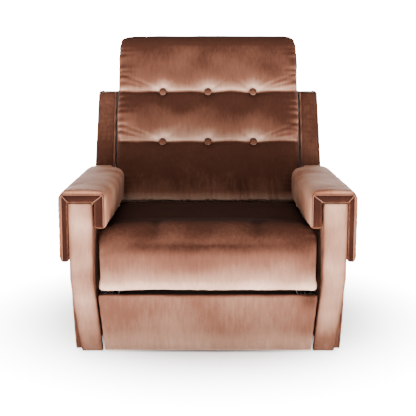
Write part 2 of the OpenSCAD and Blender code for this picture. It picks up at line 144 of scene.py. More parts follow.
@dataclass(frozen=True)
class Velvet:
    """Cotton velvet, a cut pile on a woven ground.

    Its colour follows painted light stored on each vertex: pale and pinkish for a painted highlight where the surface
    faces down, and a deep red-brown for painted shade where it faces up, with random tone and rubbed patches and
    streaks over it.
    """

    name: str = "cut_pile_velvet"
    stops: Stops = (
        (0.0, "#1c0c07"), (0.2, "#2e1810"), (0.4, "#4f3125"), (0.6, "#735445"), (0.8, "#a07e6c"), (1.0, "#cdab99"))
    patch_mm: float = 85.0
    patch_gain: float = 0.12
    streak_mm: float = 9.0
    streak_gain: float = 0.12
    # the pile's tufts are about 0.5 mm apart, drawn three times as coarse so that they show
    pile_mm: float = 1.6
    pile_gain: float = 0.14

    def build(self) -> bpy.types.Material:
        """Makes the material.

        Returns:
            The material.
        """
        s = Surface(self.name)
        # each pattern's size, how much longer it runs down the cloth, its octaves and its gain
        patterns = (
            (self.patch_mm, 1.5, 3.0, self.patch_gain),
            (self.streak_mm, 5.0, 3.0, self.streak_gain),
            (self.pile_mm, 1.0, 2.0, self.pile_gain))
        # the attribute holds painted light with some random tone: low for painted shade, high for a painted highlight
        lean = s.add("ShaderNodeAttribute", output="Fac", attribute_name="tone_and_painted_light")
        waves = []
        for size, length, detail, gain in patterns:
            place = s.add("ShaderNodeMapping", {"Vector": s.place, "Scale": (1, 1, 1 / length)})
            noise = s.add("ShaderNodeTexNoise", {"Vector": place, "Scale": 1 / (size * MM), "Detail": detail})
            waves.append(s.add("ShaderNodeMath", (noise, 0.5), operation="SUBTRACT"))
            lean = s.add("ShaderNodeMath", (waves[-1], gain, lean), operation="MULTIPLY_ADD")
        lean = s.add("ShaderNodeClamp", {"Value": lean})
        relief = s.add("ShaderNodeMath", (waves[1], 0.5, waves[2]), operation="MULTIPLY_ADD")
        return s.close({
            "Base Color": s.add("ShaderNodeValToRGB", {"Fac": lean}, stops=self.stops),
            "Roughness": s.add("ShaderNodeMath", (lean, -0.12, 0.92), operation="MULTIPLY_ADD"),
            "Specular IOR Level": 0.04,
            "Sheen Weight": s.add("ShaderNodeMath", (lean, 0.14), operation="MULTIPLY"),
            "Sheen Roughness": 0.4,
            "Sheen Tint": linear("#e0a98e"),
            "Normal": s.add("ShaderNodeBump", {"Height": relief, "Distance": 0.45 * MM, "Strength": 0.55}),
        })


@dataclass(frozen=True)
class Timber:
    """Planed timber without a coat: long grain lines, short ray flecks and a dull surface."""

    name: str
    pale: str
    deep: str
    grain_mm: float = 7.0
    along: tuple[float, float, float] = (1, 1, 14)
    # ray flecks are 1 to 3 mm long
    fleck_mm: float = 1.4

    def build(self) -> bpy.types.Material:
        """Makes the material.

        Returns:
            The material.
        """
        s = Surface(self.name)
        short = [1 + (a - 1) / 4 for a in self.along]
        grain, fleck = (
            s.add("ShaderNodeTexNoise", {
                "Vector": s.add("ShaderNodeMapping", {"Vector": s.place, "Scale": [1 / a for a in along]}),
                "Scale": 1 / (size * MM), "Detail": detail})
            for size, detail, along in ((self.grain_mm, 5.0, self.along), (self.fleck_mm, 1.0, short)))
        tone = s.add("ShaderNodeMath", (grain, 0.75), operation="MULTIPLY")
        tone = s.add("ShaderNodeMath", (fleck, 0.3, tone), operation="MULTIPLY_ADD", use_clamp=True)
        return s.close({
            "Base Color": s.add("ShaderNodeValToRGB", {"Fac": tone}, stops=((0.25, self.deep), (0.75, self.pale))),
            "Roughness": s.add("ShaderNodeMath", (grain, 0.2, 0.5), operation="MULTIPLY_ADD"),
            "Specular IOR Level": 0.35,
            "Normal": s.add("ShaderNodeBump", {"Height": tone, "Distance": 0.25 * MM, "Strength": 0.5}),
        })


@dataclass(frozen=True)
class Metal:
    """Steel, either bright zinc plate with its spangle or stove enamel over a pressed sheet."""

    name: str
    colour: str
    shade: str
    metallic: float
    roughness: float
    spangle_mm: float

    def build(self) -> bpy.types.Material:
        """Makes the material.

        Returns:
            The material.
        """
        s = Surface(self.name)
        # wear shows in patches nine times as large as the spangle
        spangle, wear = (
            s.add("ShaderNodeTexNoise", {"Vector": s.place, "Scale": 1 / (size * MM), "Detail": detail})
            for size, detail in ((self.spangle_mm, 2.0), (self.spangle_mm * 9, 4.0)))
        tone = s.add("ShaderNodeMath", (spangle, 0.4), operation="MULTIPLY")
        tone = s.add("ShaderNodeMath", (wear, 0.6, tone), operation="MULTIPLY_ADD", use_clamp=True)
        return s.close({
            "Base Color": s.add("ShaderNodeValToRGB", {"Fac": tone}, stops=((0.3, self.shade), (0.7, self.colour))),
            "Metallic": self.metallic,
            "Roughness": s.add("ShaderNodeMath", (tone, 0.16, self.roughness - 0.08), operation="MULTIPLY_ADD"),
            "Normal": s.add("ShaderNodeBump", {"Height": spangle, "Distance": 0.05 * MM, "Strength": 0.4}),
        })


@dataclass(frozen=True)
class Nylon:
    """Moulded or machined nylon: slightly waxy, with a faint spark-eroded texture and broad scuffs."""

    name: str
    colour: str
    shade: str
    roughness: float = 0.42
    texture_mm: float = 0.8
    scuff_mm: float = 14.0

    def build(self) -> bpy.types.Material:
        """Makes the material.

        Returns:
            The material.
        """
        s = Surface(self.name)
        texture, scuff = (
            s.add("ShaderNodeTexNoise", {"Vector": s.place, "Scale": 1 / (size * MM), "Detail": detail})
            for size, detail in ((self.texture_mm, 2.0), (self.scuff_mm, 4.0)))
        return s.close({
            "Base Color": s.add("ShaderNodeValToRGB", {"Fac": scuff}, stops=((0.3, self.shade), (0.7, self.colour))),
            "Roughness": s.add("ShaderNodeMath", (scuff, 0.2, self.roughness), operation="MULTIPLY_ADD"),
            "IOR": 1.53,
            "Normal": s.add("ShaderNodeBump", {"Height": texture, "Distance": 0.08 * MM, "Strength": 0.5}),
        })


@dataclass(frozen=True)
class PlainWeave:
    """Plain-woven cloth or tape: two sets of threads at right angles, which show as fine ribs."""

    name: str
    warp: str
    weft: str
    thread_mm: float

    def build(self) -> bpy.types.Material:
        """Makes the material.

        Returns:
            The material.
        """
        s = Surface(self.name)
        # one thread is half a wave, and a wave texture's scale of one gives a wave of about 0.31 m
        scale = 0.314 / (2 * self.thread_mm * MM)
        weave = s.add("ShaderNodeMath", [
            s.add("ShaderNodeTexWave", {"Vector": s.place, "Scale": scale}, "Fac", bands_direction=axis)
            for axis in ("X", "DIAGONAL")], operation="MAXIMUM")
        # slubs run over about twelve threads
        slub = s.add(
            "ShaderNodeTexNoise", {"Vector": s.place, "Scale": 1 / (12 * self.thread_mm * MM), "Detail": 3.0})
        tone = s.add("ShaderNodeMath", (weave, 0.4), operation="MULTIPLY")
        tone = s.add("ShaderNodeMath", (slub, 0.6, tone), operation="MULTIPLY_ADD", use_clamp=True)
        return s.close({
            "Base Color": s.add("ShaderNodeValToRGB", {"Fac": tone}, stops=((0.3, self.warp), (0.7, self.weft))),
            "Roughness": 0.88,
            "Specular IOR Level": 0.25,
            "Normal": s.add("ShaderNodeBump", {"Height": weave, "Distance": 0.3 * MM, "Strength": 0.6}),
        })


# where arms rest the pile is brushed one way, and this paler, greyer ramp is a painted sheen of that pile
BRUSHED_PAINTED_SHEEN = (
    (0.0, "#1a0905"), (0.2, "#35190f"), (0.38, "#5a3626"), (0.55, "#7d5f4f"), (0.8, "#a38777"), (1.0, "#cdb3a2"))

FINISHES = {
    "beech": Timber("planed_beech", "#d3b083", "#a97c4d"),
    "plywood": Timber("birch_plywood", "#dcc193", "#b8935f", 11.0, (10, 10, 1)),
    "rubber_webbing": PlainWeave("rubber_webbing", "#3d2c1f", "#6b5340", 1.6),
    "glide_nylon": Nylon("moulded_nylon", "#2a2522", "#191514"),
    "runner_nylon": Nylon("machined_nylon", "#e6e0d2", "#c9c1ae", 0.36),
    "zinc_steel": Metal("zinc_plated_steel", "#d5d8da", "#a9adb1", 1.0, 0.34, 1.8),
    "steel": Metal("enamelled_steel", "#3b3c3f", "#2a2b2d", 0.25, 0.45, 1.2),
}


# ---------------------------------------------------------------- numpy helpers


def smoothstep(low: float, high: float, value: Array) -> Array:
    """Rises from 0 at low to 1 at high along the cubic 3t^2 - 2t^3.

    Args:
        low: Where it starts.
        high: Where it ends, which may be below low.
        value: Where it is wanted.

    Returns:
        The value between 0 and 1, point by point.
    """
    t = np.clip((value - low) / (high - low), 0, 1)
    return t * t * (3 - 2 * t)


def bell(value: Array, width: float) -> Array:
    """The Gaussian exp(-(value / width)^2)."""
    return np.exp(-((value / width) ** 2))


def ripple(points: Array, wavelength: float, seed: int, count: int = 9) -> Array:
    """Smooth seeded noise: the mean of sines of near equal wavelength, each in a random direction.

    Args:
        points: Positions, one row each.
        wavelength: Mean wavelength in metres.
        seed: Seed of the directions and phases.
        count: Number of sines.

    Returns:
        One value for each point, mostly between -1 and 1.
    """
    rng = np.random.default_rng(seed)
    ways = rng.normal(size=(count, points.shape[1]))
    ways /= np.linalg.norm(ways, axis=1, keepdims=True)
    waves = 2 * np.pi / (wavelength * rng.uniform(0.7, 1.5, count))
    phases = rng.uniform(0, 2 * np.pi, count)
    return np.sin(points @ (ways * waves[:, None]).T + phases).sum(1) / np.sqrt(count) / 1.1


def arc(centre: Point, radius: float, start: float, stop: float, steps: int = 8) -> list[Point]:
    """Points on part of a circle, at the centre plus radius times (cos, sin) of the angle.

    Args:
        centre: Middle of the circle.
        radius: Its radius.
        start: First angle in degrees.
        stop: Last angle in degrees.
        steps: Number of steps between them.

    Returns:
        The points in order.
    """
    angles = np.radians(np.linspace(start, stop, steps + 1))
    return [(centre[0] + radius * float(np.cos(a)), centre[1] + radius * float(np.sin(a))) for a in angles]


def even(points: Array, pitch: float, closed: bool = True) -> Array:
    """Spaces points evenly along a line by linear interpolation over its length.

    Args:
        points: Corners of the line, one row each.
        pitch: Wanted spacing.
        closed: Whether the last point joins the first.

    Returns:
        The evenly spaced points.
    """
    loop = np.vstack([points, points[:1]]) if closed else points
    length = np.concatenate([[0.0], np.cumsum(np.linalg.norm(np.diff(loop, axis=0), axis=1))])
    count = max(4, int(round(length[-1] / pitch)))
    at = np.linspace(0, length[-1], count, endpoint=not closed)
    return np.stack([np.interp(at, length, loop[:, k]) for k in range(loop.shape[1])], axis=1)


def grid_faces(rows: int, columns: int, loop_rows: bool = False, loop_columns: bool = False) -> list[tuple[int, ...]]:
    """Quads over a grid of vertices that are numbered row by row.

    Args:
        rows: Number of rows.
        columns: Number of vertices in a row.
        loop_rows: Whether the last row joins the first.
        loop_columns: Whether each row closes on itself.

    Returns:
        The quads.
    """
    i, k = np.meshgrid(np.arange(rows - (not loop_rows)), np.arange(columns - (not loop_columns)), indexing="ij")
    after, beside = (i + 1) % rows, (k + 1) % columns
    corners = (i * columns + k, after * columns + k, after * columns + beside, i * columns + beside)
    return [tuple(quad) for quad in np.stack(corners, -1).reshape(-1, 4).tolist()]


class Axis(Enum):
    """The direction a profile is carried along, and the two coordinates it is drawn in."""

    X = (0, 1, 2)
    Y = (1, 0, 2)


def prism(profile: Sequence[Point], start: float, stop: float, axis: Axis) -> tuple[Array, list[tuple[int, ...]]]:
    """A closed profile carried straight from start to stop, with a flat face on each end.

    Args:
        profile: Corners of the profile, in (Y, Z) for Axis.X or (X, Z) for Axis.Y.
        start: Coordinate of the first end.
        stop: Coordinate of the other end.
        axis: The direction it is carried along.

    Returns:
        Vertices and faces.
    """
    ring = np.array(profile, float)
    count = len(ring)
    along, u, v = axis.value
    points = np.zeros((2 * count, 3))
    points[:, u] = np.tile(ring[:, 0], 2)
    points[:, v] = np.tile(ring[:, 1], 2)
    points[:, along] = np.repeat([start, stop], count)
    i = np.arange(count)
    j = (i + 1) % count
    faces = [tuple(map(int, f)) for f in np.stack([i, j, j + count, i + count], 1)]
    return points, faces + [tuple(range(count))[::-1], tuple(range(count, 2 * count))]


# ---------------------------------------------------------------- soft pieces


def new_object(name: str, points: Array, faces: Sequence[Sequence[int]]) -> bpy.types.Object:
    """Makes a mesh object with outward faces and links it to the scene.

    Args:
        name: Name of the object and its mesh.
        points: Vertices, one row each.
        faces: Vertex numbers of each face.

    Returns:
        The object.
    """
    mesh = bpy.data.meshes.new(name)
    mesh.from_pydata(points.tolist(), [], faces)
    mesh.validate()
    obj = bpy.data.objects.new(name, mesh)
    bpy.context.scene.collection.objects.link(obj)
    bpy.context.view_layer.objects.active = obj
    bpy.ops.object.select_all(action="DESELECT")
    obj.select_set(True)
    bpy.ops.object.mode_set(mode="EDIT")
    bpy.ops.mesh.select_all(action="SELECT")
    bpy.ops.mesh.remove_doubles(threshold=1e-5)
    bpy.ops.mesh.normals_make_consistent(inside=False)
    bpy.ops.object.mode_set(mode="OBJECT")
    return obj


def apply_modifiers(obj: bpy.types.Object) -> None:
    """Replaces the object's mesh by its evaluated one and drops the modifiers.

    Args:
        obj: The object.
    """
    bpy.context.view_layer.update()
    made = bpy.data.meshes.new_from_object(obj.evaluated_get(bpy.context.evaluated_depsgraph_get()))
    obj.modifiers.clear()
    old, obj.data = obj.data, made
    bpy.data.meshes.remove(old)


def coordinates(mesh: bpy.types.Mesh) -> Array:
    """Reads a mesh's vertices.

    Args:
        mesh: The mesh.

    Returns:
        Positions, one row each.
    """
    flat = np.empty(len(mesh.vertices) * 3)
    mesh.vertices.foreach_get("co", flat)
    return flat.reshape(-1, 3)


def normals(mesh: bpy.types.Mesh) -> Array:
    """Reads a mesh's vertex normals.

    Args:
        mesh: The mesh.

    Returns:
        Unit normals, one row each.
    """
    flat = np.empty(len(mesh.vertices) * 3, np.float32)
    mesh.vertex_normals.foreach_get("vector", flat)
    return flat.reshape(-1, 3).astype(float)


def relax(points: Array, edges: NDArray[np.int32], rounds: int) -> Array:
    """Moves each point halfway to the mean of its neighbours, again and again.

    Args:
        points: Positions, one row each.
        edges: Vertex numbers of each edge's ends.
        rounds: How many times.

    Returns:
        The new positions.
    """
    degree = np.bincount(edges.ravel(), minlength=len(points))[:, None]
    for _ in range(rounds):
        total = np.zeros_like(points)
        for k in range(3):
            total[:, k] = np.bincount(edges[:, 0], points[edges[:, 1], k], len(points))
            total[:, k] += np.bincount(edges[:, 1], points[edges[:, 0], k], len(points))
        points = 0.5 * points + 0.5 * total / degree
    return points


Field = Callable[[Array, Array], Array]


@dataclass
class Soft:
    """One upholstered piece, from a closed starting shape to its finished surface.

    Its voxel skin may be swollen by a cloth simulation, is smoothed, and is then moved along its normals by fields.
    """

    name: str
    points: Array
    faces: list[tuple[int, ...]]
    voxel: float
    rounds: int
    pressure: float = 0.0
    # how far the simulation may move a point
    cap: float = 0.0
    frames: int = 20
    obj: bpy.types.Object = field(init=False)

    def skin(self) -> "Soft":
        """Makes the voxel skin, swells it and smooths it.

        Returns:
            The piece itself.
        """
        self.obj = new_object(self.name, self.points, self.faces)
        modifier = self.obj.modifiers.new("skin", "REMESH")
        modifier.mode, modifier.voxel_size = "VOXEL", self.voxel
        apply_modifiers(self.obj)
        if self.pressure:
            self.swell()
        mesh = self.obj.data
        edges = np.empty(len(mesh.edges) * 2, np.int32)
        mesh.edges.foreach_get("vertices", edges)
        self.move_to(relax(coordinates(mesh), edges.reshape(-1, 2), self.rounds))
        return self

    def swell(self) -> None:
        """Runs a short cloth simulation with inside pressure and no gravity, and caps how far a point moves."""
        start = coordinates(self.obj.data)
        cloth = self.obj.modifiers.new("cloth", "CLOTH")
        settings = cloth.settings
        settings.use_pressure, settings.uniform_pressure_force = True, self.pressure
        settings.effector_weights.gravity = 0
        settings.quality = 4
        scene = bpy.context.scene
        for number in range(1, self.frames + 1):
            scene.frame_set(number)
        apply_modifiers(self.obj)
        scene.frame_set(1)
        moved = coordinates(self.obj.data) - start
        reach = np.linalg.norm(moved, axis=1, keepdims=True)
        self.move_to(start + moved * np.minimum(1, self.cap / np.maximum(reach, 1e-9)))

    def move_to(self, points: Array) -> None:
        """Puts the vertices at the given places."""
        self.obj.data.vertices.foreach_set("co", points.ravel())
        self.obj.data.update()

    def shape(self, *fields: Field) -> "Soft":
        """Moves every point along its normal by the sum of the fields.

        Args:
            *fields: Functions of points and normals that give metres.

        Returns:
            The piece itself.
        """
        points, facing = coordinates(self.obj.data), normals(self.obj.data)
        self.move_to(points + facing * sum(f(points, facing) for f in fields)[:, None])
        return self

    def remap(self, function: Callable[[Array], Array]) -> "Soft":
        """Puts every point where the function of its place says, and returns the piece itself."""
        self.move_to(function(coordinates(self.obj.data)))
        return self

    def place(self, side: int, bend: Callable[[Array], Array] = lambda points: points) -> None:
        """Puts a piece drawn for the right-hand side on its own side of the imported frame.

        Args:
            side: -1 for the left, 1 for the right.
            bend: What is done to the points first.
        """
        self.remap(lambda points: LAYOUT.settle(mirrored(bend(points), side)))
        if side < 0:
            self.obj.data.flip_normals()


def set_tone_and_painted_light(obj: bpy.types.Object, values: Array) -> None:
    """Stores painted light and random tone on the vertices and shades the mesh smooth.

    Args:
        obj: The object.
        values: The painted light of each vertex, from 0 for painted shade to 1 for a painted highlight.
    """
    mesh = obj.data
    attribute = mesh.attributes.new("tone_and_painted_light", "FLOAT", "POINT")
    attribute.data.foreach_set("value", np.clip(values, 0, 1).astype(np.float32))
    mesh.shade_smooth()


def hand_over(obj: bpy.types.Object, material: bpy.types.Material, body: str, slot: str, *nodes: str) -> None:
    """Gives a finished piece its material and its body, and hides the CAD nodes that it stands for.

    Args:
        obj: The piece.
        material: Its finish.
        body: The body it rides on.
        slot: Its material slot in the record; not used.
        *nodes: The CAD nodes it stands for.
    """
    obj.data.materials.clear()
    obj.data.materials.append(material)
    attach(obj, body)
    if nodes:
        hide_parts(*nodes)
    LOG.info("%s: %d faces on %s", obj.name, len(obj.data.polygons), body)


def cord_mesh(
    name: str, lines: Sequence[Array], radius: float, closed: bool, sides: int = 8
) -> bpy.types.Object:
    """Round seam cords: a circle carried along each line, square to it.

    At each point the circle lies in the plane across the line's direction, in two directions at right angles
    worked out from a fixed reference that is never along the line.

    Args:
        name: Name of the piece.
        lines: Evenly spaced centre lines, one row for each point.
        radius: Radius of the cord.
        closed: Whether each line ends where it starts.
        sides: Sides of the circle.

    Returns:
        The object, with all the cords in one mesh.
    """
    points, faces, base = [], [], 0
    turn = np.linspace(0, 2 * np.pi, sides, endpoint=False)
    wave, swing = np.cos(turn)[None, :, None], np.sin(turn)[None, :, None]
    for line in lines:
        way = np.roll(line, -1, 0) - np.roll(line, 1, 0) if closed else np.gradient(line, axis=0)
        way /= np.linalg.norm(way, axis=1, keepdims=True)
        reference = np.eye(3)[int(np.argmin(np.abs(way).max(0)))]
        across = np.cross(way, reference)
        across /= np.linalg.norm(across, axis=1, keepdims=True)
        up = np.cross(across, way)
        rings = line[:, None] + radius * (wave * across[:, None] + swing * up[:, None])
        quads = grid_faces(len(line), sides, loop_rows=closed, loop_columns=True)
        ends = [] if closed else [tuple(range(sides)), tuple(range((len(line) - 1) * sides, len(line) * sides))[::-1]]
        faces += [tuple(base + corner for corner in face) for face in quads + ends]
        points.append(rings.reshape(-1, 3))
        base += len(line) * sides
    return new_object(name, np.vstack(points), faces)


# ---------------------------------------------------------------- the chair's measures


@dataclass(frozen=True)
class Layout:
    """The chair's measures, repeated from its CAD source, in metres before the shift that centres the chair."""

    # inner and outer faces of a side, and the top of the arm
    inner_x: float = 0.342
    outer_x: float = 0.418
    arm_h: float = 0.456
    front_y: float = -0.430
    rear_y: float = 0.450
    # the wing's height and the lean of its front edge and of the back
    wing_h: float = 0.770
    lean: float = float(np.radians(20))
    ground_gap: float = 0.006
    # thickness of the facing, and how far it moves in at the floor
    facing_t: float = 0.014
    facing_toe: float = 0.024
    board_t: float = 0.010
    # the arm pad: its top, how thick its inner and outer flaps are, and their lower edges
    pad_top: float = 0.500
    pad_flap: float = 0.038
    pad_outer: float = 0.028
    pad_outer_z: float = 0.284
    pad_inner_z: float = 0.388
    toe_top: float = 0.190
    toe_from: float = 0.230
    toe_back: float = 0.018
    # the back's pivot in (Y, Z)
    pivot: Point = (0.200, 0.290)
    cushion_top: float = 0.712
    # heights of the rows of buttons over the pivot, and the spacing in a row
    rows: tuple[float, float] = (0.283, 0.474)
    pitch: float = 0.167
    seat_h: float = 0.374
    seat_rear: float = 0.150
    roll_r: float = 0.055
    # how far a starting skin keeps off the timber or the CAD face next to it
    clear: float = 0.0015

    @property
    def shift(self) -> float:
        """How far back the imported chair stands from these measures."""
        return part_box("side_cover_right")[0].y - self.front_y

    @property
    def wing_base(self) -> float:
        """Where the wing's front edge meets the arm."""
        return self.pivot[0] - 0.024

    def tuck(self, z: Array | float) -> Array:
        """Rises from 0 at toe_top to 1 at the floor as a square."""
        return np.clip((self.toe_top - np.asarray(z, float)) / self.toe_top, 0, 1) ** 2

    def toe(self, z: Array | float) -> Array:
        """Rises from 0 at toe_from to 1 at the floor along a straight line."""
        return np.clip((self.toe_from - np.asarray(z, float)) / self.toe_from, 0, 1)

    def settle(self, points: Array) -> Array:
        """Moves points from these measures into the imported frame."""
        return points + np.array([0, self.shift, 0])

    def leaned(self, points: Array) -> Array:
        """Turns backrest points, drawn upright about the pivot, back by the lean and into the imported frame.

        Y is y cos(lean) + z sin(lean) and Z is z cos(lean) - y sin(lean), both from the pivot.

        Args:
            points: Positions from the pivot.

        Returns:
            The new positions.
        """
        c, s = np.cos(self.lean), np.sin(self.lean)
        x, y, z = points.T
        return self.settle(np.stack([x, self.pivot[0] + y * c + z * s, self.pivot[1] - y * s + z * c], 1))


LAYOUT = Layout()
SIDES = (("left", -1), ("right", 1))


def mirrored(points: Array, side: int) -> Array:
    """Points drawn for the right-hand side, mirrored where side is -1."""
    return points * np.array([side, 1, 1])


# ---------------------------------------------------------------- upholstery


@dataclass
class Upholstery:
    """What every velvet piece shares."""

    velvet: bpy.types.Material
    brushed_painted_sheen: bpy.types.Material
    layout: Layout = LAYOUT


@dataclass
class SeatCushion(Upholstery):
    """The seat: a slab of foam whose front rolls over and down to the leg rest."""

    gap: float = 0.007
    crown: float = 0.010
    crest: float = 0.010
    # the lower roll of the lip, and the lowest that its velvet may hang
    lip_r: float = 0.034
    lip_z: float = 0.1845
    # places of the tufts across the seat, and where they and the crest lie along it
    tufts: tuple[float, float] = (-0.16, 0.152)
    tuft_y: float = -0.372
    crest_y: float = -0.355

    def profile(self) -> list[Point]:
        """The side outline in (Y, Z): flat on top, with one arc over the crest and a tighter one round the lip.

        Returns:
            Its corners, from the rear underside.
        """
        lay = self.layout
        y, r, lip = lay.front_y - 0.018, lay.roll_r, self.lip_r
        return [
            (lay.seat_rear, 0.256), (lay.seat_rear, lay.seat_h - 0.026), (lay.seat_rear - 0.07, lay.seat_h - 0.006),
            (0.0, lay.seat_h - 0.004), (-0.2, lay.seat_h - 0.004),
            *arc((y + r + 0.014, lay.seat_h - r - 0.018), r + 0.014, 90, 172),
            *arc((y + lip, self.lip_z + lip), lip, 185, 262), (-0.390, 0.1865), (-0.388, 0.256)]

    def build(self) -> None:
        """Makes the seat, with painted shade on top, behind and on its sides, and a painted highlight low on the front.
        """
        lay = self.layout
        half = lay.inner_x - self.gap
        skin = prism(self.profile(), -half, half, Axis.X)
        seat = Soft("seat_velvet", *skin, voxel=0.006, rounds=10, pressure=4.0, cap=0.010).skin()
        seat.shape(self.form).remap(self.tidy)
        points, facing = coordinates(seat.obj.data), normals(seat.obj.data)
        # painted shade on the top, which faces up and away from the light, blending to the front of the roll, where a
        # painted highlight lies low down
        ahead = smoothstep(-0.335, -0.385, points[:, 1])
        tone_and_painted_light = (0.42 - 0.5 * facing[:, 2]) * (1 - ahead) + (0.34 - 0.16 * facing[:, 2]) * ahead
        tone_and_painted_light += ahead * 0.20 * smoothstep(0.33, 0.20, points[:, 2])
        tone_and_painted_light += 0.12 * smoothstep(0.27, 0.20, points[:, 2]) + 0.03 * ripple(points, 0.12, 5)
        # painted shade towards the back of the seat, in the recess under the backrest, and on its side faces next to
        # the arms
        tone_and_painted_light -= 0.12 * smoothstep(-0.25, 0.0, points[:, 1])
        tone_and_painted_light -= 0.25 * smoothstep(half - 0.012, half, np.abs(points[:, 0]))
        seat.remap(lay.settle)
        set_tone_and_painted_light(seat.obj, tone_and_painted_light)
        hand_over(seat.obj, self.velvet, "seat_carriage", "velvet", "seat_cushion")

    def form(self, points: Array, facing: Array) -> Array:
        """Crown across the top, a shallow valley behind the roll, two tufts on the crest and small gathers.

        The crown falls to the sides as 1 - (x / half)^4 and rises to a crest as a Gaussian along Y. The valley and
        the tufts are Gaussians, and the gathers are sines whose phase wanders.

        Args:
            points: Positions in the chair's measures.
            facing: Unit normals.

        Returns:
            How far each point moves out, in metres.
        """
        x, y, z = points.T
        half = self.layout.inner_x
        top = smoothstep(0.5, 0.95, facing[:, 2])
        front = smoothstep(0.1, 0.8, -facing[:, 1])
        across = np.clip(1 - (x / half) ** 4, 0, 1)
        lift = (self.crown + self.crest * bell(y - self.crest_y, 0.085)) * across * smoothstep(-0.1, 0.95, facing[:, 2])
        valley = -0.006 * top * bell(y + 0.245, 0.05)
        tuft = sum(-0.011 * bell(x - cx, 0.022) * bell(y - self.tuft_y, 0.034) for cx in self.tufts)
        tuft = tuft * smoothstep(0.30, 0.34, z)
        flow = 0.0022 * ripple(points * [1, 1, 0.5], 0.13, 11, 24) * (0.35 + 0.65 * front)
        gather = 0.0016 * np.sin(x / 0.0085 + 2.5 * ripple(points[:, :1], 0.12, 3))
        gather = gather * smoothstep(0.24, 0.205, z) * front
        bulge = 0.002 * front * across * bell(z - 0.285, 0.05)
        end = half - self.gap - np.abs(x)
        pucker = 0.0014 * np.sin(z / 0.006 + 3 * ripple(points, 0.09, 8))
        pucker = pucker * np.exp(-np.clip(end, 0, 1) / 0.018) * (front + top)
        return lift + valley + tuft + flow + gather + bulge + pucker

    def tidy(self, points: Array) -> Array:
        """Keeps the seat off the side slabs, the timber under it, the leg rest and the pads' inner flaps.

        The front is held as -0.452 - 0.014 tanh(d / 0.014), where d is how far a point is past -0.452.

        Args:
            points: Positions in the chair's measures.

        Returns:
            The new positions.
        """
        lay = self.layout
        x, y, z = points.T.copy()
        x = np.clip(x, -lay.inner_x + 0.004, lay.inner_x - 0.004)
        y = np.where(y < -0.452, -0.452 - 0.014 * np.tanh((-0.452 - y) / 0.014), y)
        floor = np.where(y > -0.386, 0.2542, 0.1838)
        z = np.clip(z, floor, np.where(np.abs(x) > 0.295, lay.seat_h + 0.007, 1))
        return np.stack([x, np.minimum(y, lay.seat_rear + 0.004), z], 1)


